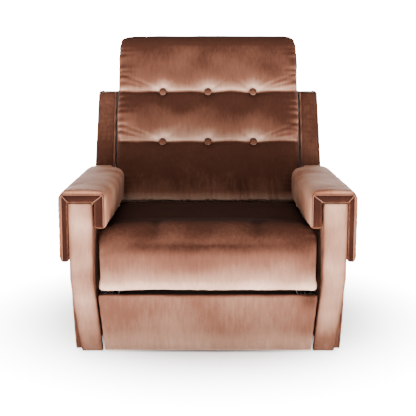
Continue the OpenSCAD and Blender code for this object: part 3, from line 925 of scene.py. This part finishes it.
@dataclass
class BackCushion(Upholstery):
    """The backrest's cushion, tied down by two rows of three buttons into three swelling bands."""

    front: float = 0.106
    swell: float = 0.020
    gap: float = 0.0045
    low: float = 0.066
    button_r: float = 0.0135
    button_h: float = 0.0062
    # how far in front of the pivot the buttons' centres lie, and the least painted light, which limits the painted
    # shade
    button_y: float = -0.1055
    darkest: float = 0.16
    # depth of a crease and of a button's pit
    crease: float = 0.0055
    pit: float = 0.009
    # how full each band is, from the lowest
    fullness: tuple[float, float, float] = (1.05, 1.0, 0.95)
    # angles of the long folds from straight out to the side, in radians
    long_folds: tuple[float, ...] = (0.10, 0.24, 0.40, -0.16)

    def outline(self) -> list[Point]:
        """The front outline in (X, Z), with rounded upper corners.

        Returns:
            Its corners.
        """
        wide, top = self.layout.inner_x - self.gap, self.layout.cushion_top - 0.003
        right = [(wide - 0.008, self.low), (wide - 0.002, 0.090), (wide, 0.3), (wide - 0.002, top - 0.10)]
        right += arc((wide - 0.045, top - 0.052), 0.038, 0, 80)
        right += [(0.12, top)]
        return right + [(-x, z) for x, z in reversed(right)]

    def build(self) -> None:
        """Makes the cushion and its buttons, with painted shade where it faces up and a painted highlight where it
        faces down.
        """
        lay = self.layout
        skin = prism(self.outline(), -self.front, -0.016, Axis.Y)
        cushion = Soft("back_velvet", *skin, voxel=0.0055, rounds=10, pressure=4.0, cap=0.006).skin()
        cushion.remap(self.roll).shape(self.form).remap(self.tidy)
        points, facing = coordinates(cushion.obj.data), normals(cushion.obj.data)
        # painted shade where the bands face up and a painted highlight where they face down, with more painted shade in
        # the lowest band and along the top, and a little paler near the ends
        bands = 0.25 - 0.72 * facing[:, 2] - 0.07 * smoothstep(0.30, 0.26, points[:, 2])
        ends = smoothstep(self.layout.inner_x - 0.02, self.layout.inner_x - 0.008, np.abs(points[:, 0]))
        tone_and_painted_light = bands + 0.04 * ripple(points, 0.16, 21) + 0.05 * ends
        tone_and_painted_light -= 0.10 * smoothstep(0.66, 0.72, points[:, 2])
        # a painted highlight around each button, on the folds there
        for cx, cz in self.buttons():
            tone_and_painted_light += 0.12 * bell(np.hypot(points[:, 0] - cx, (points[:, 2] - cz - 0.012) * 1.4), 0.045)
        cushion.remap(lay.leaned)
        set_tone_and_painted_light(cushion.obj, np.maximum(tone_and_painted_light, self.darkest))
        hand_over(cushion.obj, self.velvet, "backrest", "velvet", "back_cushion")
        self.build_buttons()

    def buttons(self) -> list[Point]:
        """Places of the six buttons in (X, Z)."""
        return [(k * self.layout.pitch, z) for z in self.layout.rows for k in (-1, 0, 1)]

    def roll(self, points: Array) -> Array:
        """Rounds the front over the top and under the bottom: Y is held behind a quarter circle at either end.

        Args:
            points: Positions in the chair's measures.

        Returns:
            The new positions.
        """
        x, y, z = points.T.copy()
        top, low = self.layout.cushion_top - 0.004, self.low
        r_top, r_low = 0.062, 0.030
        u = np.clip((z - (top - r_top)) / r_top, 0, 1)
        v = np.clip(((low + r_low) - z) / r_low, 0, 1)
        limit = -self.front + r_top * (1 - np.sqrt(1 - 0.98 * u**2)) + r_low * (1 - np.sqrt(1 - 0.98 * v**2))
        return np.stack([x, np.maximum(y, limit), z], 1)

    def form(self, points: Array, facing: Array) -> Array:
        """Three bands that swell between the rows, a crease along each row, and a pit and folds at each button.

        A band rises as (4t(1 - t))^0.62, with t from 0 at one row to 1 at the next. A crease falls off as
        exp(-distance / 8 mm). A fold is a Gaussian across a ray from the button and fades with distance along it.

        Args:
            points: Positions in the chair's measures.
            facing: Unit normals.

        Returns:
            How far each point moves out, in metres.
        """
        x, _, z = points.T
        lay = self.layout
        half = lay.inner_x - 0.010
        front = smoothstep(0.15, 0.75, -facing[:, 1])
        edges = (0.050, *lay.rows, lay.cushion_top - 0.004)
        band = np.zeros_like(z)
        for low, high, gain in zip(edges[:-1], edges[1:], self.fullness):
            t = np.clip((z - low) / (high - low), 0, 1)
            band += gain * (4 * t * (1 - t)) ** 0.62
        across = 1 - 0.45 * np.abs(x / half) ** 5
        wander = 0.0035 * ripple(points[:, :1], 0.16, 31)
        crease = sum(-self.crease * np.exp(-np.abs(z - row - wander) / 0.008) for row in lay.rows)
        pit, folds = np.zeros_like(z), np.zeros_like(z)
        rng = np.random.default_rng(4)
        for cx, cz in self.buttons():
            dx, dz = x - cx, z - cz
            r = np.hypot(dx, dz)
            pit -= self.pit * bell(r, 0.022) + 0.005 * np.exp(-r / 0.05)
            folds -= 0.0040 * bell(dx, 0.011) * np.exp(-np.abs(dz) / 0.055) * (1 - bell(r, 0.012))
            angle = np.arctan2(dz, dx)
            # long folds run out and up from the outer buttons to the sides, short ones all round
            outward = 0.0 if cx > 0 else np.pi
            long_ways = [] if cx == 0 else [outward + (1 if cx > 0 else -1) * a for a in self.long_folds]
            for way in (*rng.uniform(-np.pi, np.pi, 6), *long_ways):
                long = way in long_ways
                off = np.angle(np.exp(1j * (angle - way)))
                near = np.abs(off) < 1.2
                across_fold = r * np.sin(np.clip(off, -1.2, 1.2))
                reach = rng.uniform(0.09, 0.16) if long else rng.uniform(0.018, 0.034)
                depth = rng.uniform(0.0026, 0.0042) if long else rng.uniform(0.002, 0.004)
                folds -= near * depth * bell(across_fold, 0.0045) * np.exp(-r / reach) * (1 - bell(r, 0.014))
        end = np.clip(half - np.abs(x), 0, 1)
        gathers = np.sin(z / 0.0042 + 3.0 * ripple(points[:, 2:], 0.10, 41) + 2 * np.sign(x))
        seams = 0.0017 * gathers * np.exp(-end / 0.020)
        seams -= 0.004 * bell(end - 0.004, 0.005)
        foot = 0.0022 * np.sin(x / 0.0075 + 3 * ripple(points[:, :1], 0.11, 43)) * smoothstep(0.15, 0.085, z)
        wave = 0.0011 * ripple(points, 0.09, 45, 24)
        relief = self.swell * band * across + crease + pit + folds + seams + foot + wave
        return front * relief + (1 - front) * 0.002

    def tidy(self, points: Array) -> Array:
        """Keeps the cushion off the wings, the pads and the webbing.

        Args:
            points: Positions in the chair's measures.

        Returns:
            The new positions.
        """
        x, y, z = points.T.copy()
        half = self.layout.inner_x - self.gap
        return np.stack([np.clip(x, -half, half), np.clip(y, -0.136, -0.013), np.clip(z, 0.060, 0.716)], 1)

    def build_buttons(self) -> None:
        """Six covered buttons, each a dome over a rounded rim.

        At parameter t, from 0 at the top to 2.6 under the rim, the radius is r sin(t)^0.8 and the height h cos(t).
        """
        lay, rings, sides = self.layout, 14, 40
        t = 2.6 * np.linspace(0.0, 1.0, rings + 1)[1:]
        radius, height = self.button_r * np.sin(t) ** 0.8, self.button_h * np.cos(t)
        turn = np.linspace(0, 2 * np.pi, sides, endpoint=False)
        across, up = radius[:, None] * np.cos(turn), radius[:, None] * np.sin(turn)
        wall = np.stack([across, -np.repeat(height[:, None], sides, 1), up], -1)
        button = np.vstack([[[0, -self.button_h, 0]], wall.reshape(-1, 3)])
        faces = [tuple(1 + corner for corner in quad) for quad in grid_faces(rings, sides, loop_columns=True)]
        faces += [(0, 1 + n, 1 + (n + 1) % sides) for n in range(sides)]
        faces += [tuple(range(1 + (rings - 1) * sides, 1 + rings * sides))]
        points, all_faces = [], []
        for number, (cx, cz) in enumerate(self.buttons()):
            points.append(button + np.array([cx, self.button_y, cz]))
            all_faces += [tuple(corner + number * len(button) for corner in face) for face in faces]
        obj = new_object("covered_buttons", lay.leaned(np.vstack(points)), all_faces)
        facing = normals(obj.data)
        # painted shade on the buttons' upper faces and a painted highlight below
        set_tone_and_painted_light(obj, 0.38 - 0.25 * facing[:, 2])
        hand_over(obj, self.velvet, "backrest", "velvet_button", "back_buttons")


@dataclass
class ArmPads(Upholstery):
    """The saddle pads over the arms, with a deep outer flap and a short inner one."""

    corner: float = 0.026
    cord_r: float = 0.0012
    # how far the top velvet rolls over onto the end face before its seam
    roll: float = 0.0085
    wing_gap: float = 0.006

    def inside(self, points: Array) -> Array:
        """How far inside the pad's outer outline each point lies, across the end face.

        Args:
            points: Positions in the chair's measures.

        Returns:
            The distance of each point.
        """
        lay = self.layout
        x, _, z = points.T
        return np.min([x - lay.inner_x + lay.pad_flap, lay.outer_x + lay.pad_outer - x, lay.pad_top - z], axis=0)

    def profile(self, inset: float = 0.0) -> list[Point]:
        """The pad's section in (X, Z), for the right-hand side.

        Args:
            inset: How far the outside is drawn in.

        Returns:
            Its corners.
        """
        lay = self.layout
        x0, x1 = lay.inner_x - lay.pad_flap + inset, lay.outer_x + lay.pad_outer - inset
        top, r = lay.pad_top - inset, self.corner
        under = lay.arm_h + lay.board_t + lay.clear
        return [
            (x0 + 0.009, lay.pad_inner_z), (x0, lay.pad_inner_z + 0.012), *arc((x0 + r, top - r), r, 180, 90, 6),
            *arc((x1 - r, top - r), r, 90, 0, 6), (x1, lay.pad_outer_z + 0.012), (x1 - 0.008, lay.pad_outer_z),
            (lay.outer_x + lay.clear, lay.pad_outer_z), (lay.outer_x + lay.clear, under),
            (lay.inner_x - lay.clear, under), (lay.inner_x - lay.clear, lay.pad_inner_z)]

    def build(self) -> None:
        """Makes both pads with the cords of their end seams."""
        for label, side in SIDES:
            self.build_one(label, side)

    def build_one(self, label: str, side: int) -> None:
        """Makes one pad.

        Args:
            label: left or right.
            side: -1 for the left, 1 for the right.
        """
        lay = self.layout
        y0, y1 = lay.front_y - lay.facing_t - 0.001, lay.wing_base - self.wing_gap
        skin = prism(self.profile(-lay.clear), y0, y1, Axis.Y)
        pad = Soft(f"arm_velvet_{label}", *skin, voxel=0.0045, rounds=4).skin()
        pad.shape(lambda p, n: self.form(p, n, side)).remap(self.tidy)
        points, facing = coordinates(pad.obj.data), normals(pad.obj.data)
        front = smoothstep(0.4, 0.85, -facing[:, 1])
        outer = smoothstep(0.5, 0.9, facing[:, 0])
        top = smoothstep(0.5, 0.9, facing[:, 2])
        # painted shade on the outer flap and deeper painted shade on the end face inside its seam, with some random
        # tone
        tone_and_painted_light = 0.43 + 0.01 * top - 0.14 * outer * (1 - front) + 0.04 * ripple(points, 0.14, 51 + side)
        tone_and_painted_light -= 0.42 * front * smoothstep(self.roll - 0.002, self.roll + 0.001, self.inside(points))
        pad.place(side)
        set_tone_and_painted_light(pad.obj, tone_and_painted_light)
        # the pads take the ramp with the painted sheen of their brushed pile
        hand_over(pad.obj, self.brushed_painted_sheen, "chair_body", "velvet_trim", f"arm_pad_{label}")
        self.seams(label, side)

    def form(self, points: Array, facing: Array, side: int) -> Array:
        """A soft crown on top, slack waves down the flaps and gathers along the front edge seam.

        The crown is a parabola across the arm. The end face puffs up inside its seam and dips along it.

        Args:
            points: Positions in the chair's measures.
            facing: Unit normals.
            side: -1 for the left, 1 for the right.

        Returns:
            How far each point moves out, in metres.
        """
        x, y, z = points.T
        lay = self.layout
        middle = (lay.inner_x + lay.outer_x) / 2
        top = smoothstep(0.4, 0.9, facing[:, 2]) * smoothstep(0.47, 0.49, z)
        crown = 0.006 * top * np.clip(1 - ((x - middle) / 0.07) ** 2, 0, 1)
        flaps = smoothstep(0.4, 0.9, np.abs(facing[:, 0])) * ((x > lay.outer_x + 0.01) | (x < lay.inner_x - 0.01))
        slack = 0.0009 * flaps * ripple(points * [1, 1, 0.6], 0.10, 61 + side, 20)
        slack += 0.0045 * flaps * (x < lay.inner_x) * bell(y + 0.10, 0.22) * bell(z - 0.45, 0.05)
        from_front = y - (lay.front_y - lay.facing_t)
        run = z + x
        front = smoothstep(0.5, 0.9, -facing[:, 1])
        gather = 0.0006 * np.sin(run / 0.0038 + 3 * ripple(points, 0.07, 63))
        gather = gather * np.exp(-np.abs(from_front - 0.006) / 0.010) * (1 - front)
        deep = self.inside(points) - self.roll
        puff = 0.0030 * smoothstep(0, -0.006, deep) - 0.0016 * bell(deep, 0.003) + 0.0012 * bell(deep - 0.012, 0.007)
        dents = 0.0007 * ripple(points, 0.06, 67, 20) * (top + front)
        return crown + slack + gather + front * puff + dents

    def tidy(self, points: Array) -> Array:
        """Slants the rear end along the wing, ends the inner flap sooner and keeps the pad off the slab under it.

        From halfway back, Y gains tan(lean) times the height over the arm, growing as a cubic.

        Args:
            points: Positions in the chair's measures.

        Returns:
            The new positions.
        """
        lay = self.layout
        x, y, z = points.T.copy()
        y = y + np.tan(lay.lean) * (z - lay.arm_h) * smoothstep(-0.1, lay.wing_base, y)
        start, full = -0.10, lay.wing_base - self.wing_gap
        flap = (0.118 - start) / (full - start)
        over_seat = smoothstep(lay.inner_x + 0.016, lay.inner_x - 0.001, x) * (y > start)
        y = y + over_seat * (flap - 1) * (y - start)
        over = (x > lay.inner_x - 0.0013) & (x < lay.outer_x + 0.0013)
        z = np.where(over & (z > lay.arm_h - 0.02), np.maximum(z, lay.arm_h + lay.board_t + 0.0006), z)
        between = over & (z < lay.arm_h - 0.02)
        x = np.where(between & (x > 0.38), lay.outer_x + 0.0014, np.where(between, lay.inner_x - 0.0014, x))
        return np.stack([x, y, z], 1)

    def seams(self, label: str, side: int) -> None:
        """Cords on the end face: one round its outer edge and a mitre at each upper corner.

        Args:
            label: left or right.
            side: -1 for the left, 1 for the right.
        """
        lay = self.layout
        y = lay.front_y - lay.facing_t - 0.001
        x0, x1 = lay.inner_x - lay.pad_flap + self.roll, lay.outer_x + lay.pad_outer - self.roll
        top, r = lay.pad_top - self.roll, 0.006
        edge = [(x0, lay.pad_inner_z + 0.008), *arc((x0 + r, top - r), r, 180, 90, 4),
                *arc((x1 - r, top - r), r, 90, 0, 4), (x1, lay.pad_outer_z + 0.008)]
        rim = even(np.array(edge, float), 0.003, closed=False)
        rim = np.stack([rim[:, 0], np.full(len(rim), y - 0.0006), rim[:, 1]], 1)
        under = lay.arm_h + lay.board_t + 0.003
        mitres = []
        for start, stop in ((x0 + 0.002, lay.inner_x), (x1 - 0.002, lay.outer_x)):
            line = even(np.array([(start, top - 0.002), (stop, under)]), 0.003, closed=False)
            lift = np.linspace(0, 1, len(line))
            mitres.append(np.stack([line[:, 0], y - 0.0010 - 0.0010 * np.sin(np.pi * lift), line[:, 1]], 1))
        lines = [lay.settle(mirrored(line, side)) for line in (rim, *mitres)]
        obj = cord_mesh(f"arm_seams_{label}", lines, self.cord_r, closed=False)
        set_tone_and_painted_light(obj, np.full(len(obj.data.vertices), 0.46))
        hand_over(obj, self.velvet, "chair_body", "velvet_trim")


@dataclass
class SideSlabs(Upholstery):
    """The two upholstered sides with their raised wings, edged with welts."""

    welt_r: float = 0.0032
    # how far the outer face draws in at the floor and at the top of the wing
    low_taper: float = 0.009
    high_taper: float = 0.008

    def outline(self, inset: float = 0.0) -> list[Point]:
        """The slab's side outline in (Y, Z).

        Args:
            inset: How far it is drawn in all round.

        Returns:
            Its corners.
        """
        lay = self.layout
        z = np.linspace(lay.ground_gap - 0.003, lay.toe_top, 9)
        y = lay.front_y + inset + lay.toe_back * lay.tuck(z)
        rise = np.tan(lay.lean) * (lay.wing_h - lay.arm_h)
        foot = np.where(z == z[0], z + inset, z)
        return [
            *zip(y.tolist(), foot.tolist()),
            (lay.front_y + inset, lay.arm_h - inset), (lay.wing_base + inset, lay.arm_h - inset),
            *arc((lay.wing_base + rise + 0.026, lay.wing_h - 0.022), 0.022 - inset / 2, 160, 90, 4),
            *arc((lay.rear_y - 0.026, lay.wing_h - 0.026), 0.026 - inset / 2, 90, -4, 5),
            (lay.rear_y - 0.050 - inset, lay.ground_gap - 0.003 + inset)]

    def build(self) -> None:
        """Makes both slabs, their welts and the facings nailed to their fronts."""
        lay = self.layout
        for label, side in SIDES:
            skin = prism(self.outline(lay.clear), lay.inner_x + lay.clear, lay.outer_x - lay.clear, Axis.X)
            slab = Soft(f"side_velvet_{label}", *skin, voxel=0.006, rounds=4).skin().shape(self.form)
            points, facing = coordinates(slab.obj.data), normals(slab.obj.data)
            wing = smoothstep(lay.arm_h, lay.arm_h + 0.05, points[:, 2])
            # painted shade, deeper on the wing and lighter on the flat faces, with some random tone
            tone_and_painted_light = 0.27 - 0.04 * wing + 0.05 * np.abs(facing[:, 0]) + 0.03 * ripple(points, 0.3, 71 + side, 24)
            slab.place(side, self.taper)
            set_tone_and_painted_light(slab.obj, tone_and_painted_light)
            hand_over(slab.obj, self.velvet, "chair_body", "velvet", f"side_cover_{label}")
            self.welts(label, side)
            self.facing(label, side)

    def taper(self, points: Array) -> Array:
        """Draws the outer face in along straight lines, towards the floor and towards the top of the wing.

        Args:
            points: Positions in the chair's measures.

        Returns:
            The new positions.
        """
        lay = self.layout
        x, y, z = points.T.copy()
        share = (x - lay.inner_x) / (lay.outer_x - lay.inner_x)
        low = self.low_taper * np.clip((0.26 - z) / 0.25, 0, 1)
        high = self.high_taper * np.clip((z - lay.arm_h) / (lay.wing_h - lay.arm_h), 0, 1)
        return np.stack([x - share * (low + high), y, z], 1)

    def form(self, points: Array, facing: Array) -> Array:
        """Slight waves over each flat and gathers along the welts, which are a sine whose phase wanders.

        Args:
            points: Positions in the chair's measures.
            facing: Unit normals.

        Returns:
            How far each point moves out, in metres.
        """
        x, y, z = points.T
        flat = smoothstep(0.7, 0.98, np.abs(facing[:, 0]))
        wave = 0.0010 * ripple(points, 0.13, 73)
        edge = smoothstep(0.5, 0.9, 1 - np.abs(facing[:, 0]))
        gather = 0.0007 * np.sin((y + z) / 0.004 + 3 * ripple(points, 0.08, 75)) * edge
        return flat * wave + gather - 0.0004

    def welts(self, label: str, side: int) -> None:
        """A welt round each face of the slab, with its corners rounded by averaging neighbours.

        Args:
            label: left or right.
            side: -1 for the left, 1 for the right.
        """
        lay = self.layout
        line = even(np.array(self.outline(0.0032), float), 0.005)
        for _ in range(3):
            line = (np.roll(line, 1, 0) + 2 * line + np.roll(line, -1, 0)) / 4
        lines = []
        for x in (lay.inner_x + 0.0040, lay.outer_x - 0.0042):
            points = np.stack([np.full(len(line), x), line[:, 0], line[:, 1]], 1)
            lines.append(lay.settle(mirrored(self.taper(points), side)))
        obj = cord_mesh(f"side_welts_{label}", lines, self.welt_r, closed=True)
        set_tone_and_painted_light(obj, 0.36 + 0.06 * ripple(coordinates(obj.data), 0.05, 77))
        hand_over(obj, self.velvet, "chair_body", "velvet")

    def facing(self, label: str, side: int) -> None:
        """The facing: a padded strip that narrows and toes in towards the floor and follows the slab's front edge.

        Args:
            label: left or right.
            side: -1 for the left, 1 for the right.
        """
        lay = self.layout
        z = np.linspace(lay.ground_gap - 0.003, lay.arm_h + lay.board_t - 0.001, 60)
        left = lay.inner_x + 0.003 - lay.facing_toe * lay.toe(z)
        right = lay.outer_x - 0.001 - 1.2 * lay.facing_toe * lay.toe(z)
        outline = [*zip(left.tolist(), z.tolist()), *zip(right[::-1].tolist(), z[::-1].tolist())]
        skin = prism(outline, 0.0, lay.facing_t - 0.0008, Axis.Y)
        strip = Soft(f"facing_velvet_{label}", *skin, voxel=0.003, rounds=4).skin().shape(self.puff)
        points = coordinates(strip.obj.data)
        x, height = points[:, 0], points[:, 2]
        # painted shade towards the floor and along both edges of the strip, with some random tone
        tone_and_painted_light = 0.56 + 0.04 * ripple(points, 0.12, 81 + side, 20) - 0.10 * smoothstep(0.12, 0.02, height)
        edge = np.minimum(x - np.interp(height, z, left), np.interp(height, z, right) - x)
        tone_and_painted_light -= 0.28 * np.exp(-np.clip(edge, 0, 1) / 0.005)

        def bend(p: Array) -> Array:
            """Moves the strip onto the slab's front edge and back along it."""
            return p + np.outer(lay.front_y - lay.facing_t + lay.toe_back * lay.tuck(p[:, 2]), (0, 1, 0))

        strip.place(side, bend)
        set_tone_and_painted_light(strip.obj, tone_and_painted_light)
        hand_over(strip.obj, self.velvet, "chair_body", "velvet_trim", f"arm_facing_{label}")

    def puff(self, points: Array, facing: Array) -> Array:
        """A little slackness on the front of the facing.

        Args:
            points: Positions in the chair's measures.
            facing: Unit normals.

        Returns:
            How far each point moves out, in metres.
        """
        front = smoothstep(0.6, 0.95, -facing[:, 1])
        return front * (0.0012 * ripple(points, 0.05, 83) + 0.0008)


@dataclass
class LegRestPanel(Upholstery):
    """The padded front panel that swings out as the leg rest."""

    low: float = 0.007
    high: float = 0.183
    depth: float = 0.018

    def build(self) -> None:
        """Makes the panel's velvet, with painted shade where it faces up, a painted highlight towards the floor and one
        darker mark near its right-hand corner.
        """
        lay = self.layout
        z = np.linspace(self.low, self.high, 40)
        edge = lay.inner_x - 0.0020 - lay.facing_toe * lay.toe(z)
        outline = [*zip(edge.tolist(), z.tolist()), *zip((-edge[::-1]).tolist(), z[::-1].tolist())]
        y0 = lay.front_y - lay.facing_t + 0.006
        skin = prism(outline, y0 + 0.001, y0 + self.depth - 0.0005, Axis.Y)
        panel = Soft("legrest_velvet", *skin, voxel=0.004, rounds=5).skin().shape(self.form)
        points, facing = coordinates(panel.obj.data), normals(panel.obj.data)
        # painted shade where the panel faces up and a painted highlight towards the floor
        tone_and_painted_light = 0.45 - 0.20 * facing[:, 2] + 0.04 * ripple(points, 0.2, 91, 20)
        tone_and_painted_light += 0.16 * smoothstep(0.08, 0.02, points[:, 2])
        tone_and_painted_light -= 0.22 * bell(points[:, 0] - 0.31, 0.03) * bell(points[:, 2] - 0.165, 0.03)
        panel.remap(lay.settle)
        set_tone_and_painted_light(panel.obj, tone_and_painted_light)
        hand_over(panel.obj, self.velvet, "legrest", "velvet_trim", "legrest_pad")

    def form(self, points: Array, facing: Array) -> Array:
        """Slack waves over the front and small gathers that die away from the top and bottom edges.

        Args:
            points: Positions in the chair's measures.
            facing: Unit normals.

        Returns:
            How far each point moves out, in metres.
        """
        x, _, z = points.T
        front = smoothstep(0.6, 0.95, -facing[:, 1])
        rim = np.exp(-np.abs(z - self.low) / 0.012) + np.exp(-np.abs(self.high - z) / 0.010)
        gather = 0.0010 * np.sin(x / 0.0065 + 3 * ripple(points[:, :1], 0.1, 93)) * rim
        return front * (0.0016 * ripple(points, 0.12, 95) + gather)


@dataclass
class RearPieces(Upholstery):
    """The outer back with its boxed sides, the skirt below it and the dust cloth under the seat."""

    def build(self) -> None:
        """Makes the three pieces."""
        panel = self.skinned("outer_back_velvet", "outer_back", 0.005)
        points, facing = coordinates(panel.data), normals(panel.data)
        # painted shade where the outer back faces up, with some random tone
        set_tone_and_painted_light(panel, 0.34 - 0.22 * facing[:, 2] + 0.03 * ripple(points, 0.3, 101, 24))
        hand_over(panel, self.velvet, "backrest", "velvet", "outer_back")
        skirt = self.skinned("skirt_velvet", "rear_skirt", 0.004)
        set_tone_and_painted_light(skirt, 0.34 + 0.03 * ripple(coordinates(skirt.data), 0.3, 107, 24))
        hand_over(skirt, self.velvet, "chair_body", "velvet", "rear_skirt")
        self.dust_cloth()

    def skinned(self, name: str, node: str, voxel: float) -> bpy.types.Object:
        """Skins a merged copy of a CAD solid.

        Args:
            name: Name of the new piece.
            node: Name of the CAD node.
            voxel: Size of the skin's voxels.

        Returns:
            The new piece.
        """
        mesh = frame["nodes"][node].data
        faces = [tuple(face.vertices) for face in mesh.polygons]
        return Soft(name, coordinates(mesh), faces, voxel, rounds=4).skin().shape(self.slack).obj

    def slack(self, points: Array, facing: Array) -> Array:
        """Long shallow waves across whatever faces the rear."""
        return 0.0012 * ripple(points, 0.15, 103) * smoothstep(0.6, 0.9, facing[:, 1]) - 0.0004

    def dust_cloth(self) -> None:
        """A stretched cloth: a grid whose height drops by 4 mm towards the middle as a product of two sines."""
        low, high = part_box("dust_cover")
        rows, columns = 60, 50
        u, v = np.meshgrid(np.linspace(0, 1, rows), np.linspace(0, 1, columns), indexing="ij")
        sag = 0.004 * np.sin(np.pi * u) * np.sin(np.pi * v)
        top = np.stack([low.x + u * (high.x - low.x), low.y + v * (high.y - low.y), high.z - sag], -1).reshape(-1, 3)
        obj = new_object("dust_cloth", top, grid_faces(rows, columns))
        thick = obj.modifiers.new("thickness", "SOLIDIFY")
        thick.thickness, thick.offset = 0.0008, -1.0
        obj.data.shade_smooth()
        cloth = PlainWeave("black_cambric", "#0e0c0b", "#2b2724", 0.9).build()
        hand_over(obj, cloth, "chair_body", "dust_cloth", "dust_cover")


# ---------------------------------------------------------------- frame, floor, light and camera


def dress_frame() -> None:
    """Gives every CAD node that still shows the finish of its material slot."""
    made = {name: finish.build() for name, finish in FINISHES.items()}
    for part in frame["record"]["subparts"]:
        if part["material_slot"] in made:
            mesh = frame["nodes"][part["node"]].data
            mesh.materials.clear()
            mesh.materials.append(made[part["material_slot"]])


@dataclass(frozen=True)
class Studio:
    """A pale floor and backdrop in one sweep, large soft lights, and the camera."""

    lens: float = 75.9
    place: tuple[float, float, float] = (0.0, -3.0325, 0.8834)
    tilt: float = 80.49
    # each light's name, place, length of side and watts
    lamps: tuple[tuple[str, tuple[float, float, float], float, float], ...] = (
        ("key", (-1.3, -2.2, 2.6), 1.6, 68), ("fill", (1.9, -2.0, 1.6), 2.2, 31),
        ("top", (0.0, 0.3, 3.0), 2.4, 40), ("front", (0.0, -3.4, 1.0), 1.6, 16))
    sky: float = 1.05
    # the floor's painted glow starts and is full at these distances from the origin
    dark_r: float = 0.4
    bright_r: float = 1.2
    glow: float = 22.0

    def build(self) -> None:
        """Makes the floor, whose rear rises as a cubic, and then the lights, the sky and the camera."""
        # the floor glows away from the chair, painted light that makes it come out white; near the chair it doesn't
        # glow, which leaves a painted shadow around the real shadow under the chair
        s = Surface("painted_floor")
        noise = s.add("ShaderNodeTexNoise", {"Vector": s.place, "Scale": 1 / (400 * MM), "Detail": 3.0})
        far = s.add("ShaderNodeVectorMath", [s.place], "Value", operation="LENGTH")
        span = {"Value": far, "From Min": self.dark_r, "From Max": self.bright_r, "To Min": 0.0, "To Max": self.glow}
        floor_finish = s.close({
            "Base Color": s.add("ShaderNodeValToRGB", {"Fac": noise}, stops=((0.3, "#f4f3f2"), (0.7, "#f8f7f6"))),
            "Roughness": 0.9,
            "Emission Color": linear("#ffffff"),
            "Emission Strength": s.add("ShaderNodeMapRange", span, interpolation_type="SMOOTHSTEP"),
        })
        rows, columns = 21, 41
        u, v = np.meshgrid(np.linspace(-5, 5, rows), np.linspace(-4, 5, columns), indexing="ij")
        rise = 3.0 * smoothstep(2.2, 5.0, v)
        points = np.stack([u, v, rise], -1).reshape(-1, 3)
        floor = new_object("floor", points, grid_faces(rows, columns))
        floor.data.shade_smooth()
        floor.data.materials.append(floor_finish)
        for lamp in self.lamps:
            self.light(*lamp)
        world = bpy.data.worlds.new("studio")
        bpy.context.scene.world = world
        world.use_nodes = True
        backdrop = world.node_tree.nodes["Background"]
        backdrop.inputs["Color"].default_value = linear("#ffffff")
        backdrop.inputs["Strength"].default_value = self.sky
        camera = bpy.data.objects.new("camera", bpy.data.cameras.new("camera"))
        camera.data.lens, camera.data.sensor_width = self.lens, 36
        camera.location = self.place
        camera.rotation_euler = (np.radians(self.tilt), 0, 0)
        bpy.context.scene.collection.objects.link(camera)
        bpy.context.scene.camera = camera

    def light(self, name: str, place: tuple[float, float, float], size: float, power: float) -> None:
        """Adds a square soft light that points at the middle of the chair.

        Args:
            name: Name of the light.
            place: Where it stands.
            size: Length of its sides.
            power: Power in watts.
        """
        lamp = bpy.data.lights.new(name, "AREA")
        lamp.size, lamp.energy = size, power
        obj = bpy.data.objects.new(name, lamp)
        obj.location = place
        obj.rotation_euler = (Vector((0, 0, 0.45)) - obj.location).to_track_quat("-Z", "Y").to_euler()
        bpy.context.scene.collection.objects.link(obj)


def main() -> None:
    """Builds the upholstery, the finishes and the studio in order."""
    logging.basicConfig(level=logging.INFO)
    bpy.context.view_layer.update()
    velvet = Velvet().build()
    brushed_painted_sheen = Velvet("brushed_velvet_painted_sheen", BRUSHED_PAINTED_SHEEN).build()
    for part in (SeatCushion, BackCushion, ArmPads, SideSlabs, LegRestPanel, RearPieces):
        part(velvet, brushed_painted_sheen).build()
    dress_frame()
    Studio().build()


if __name__ == "__main__":
    main()
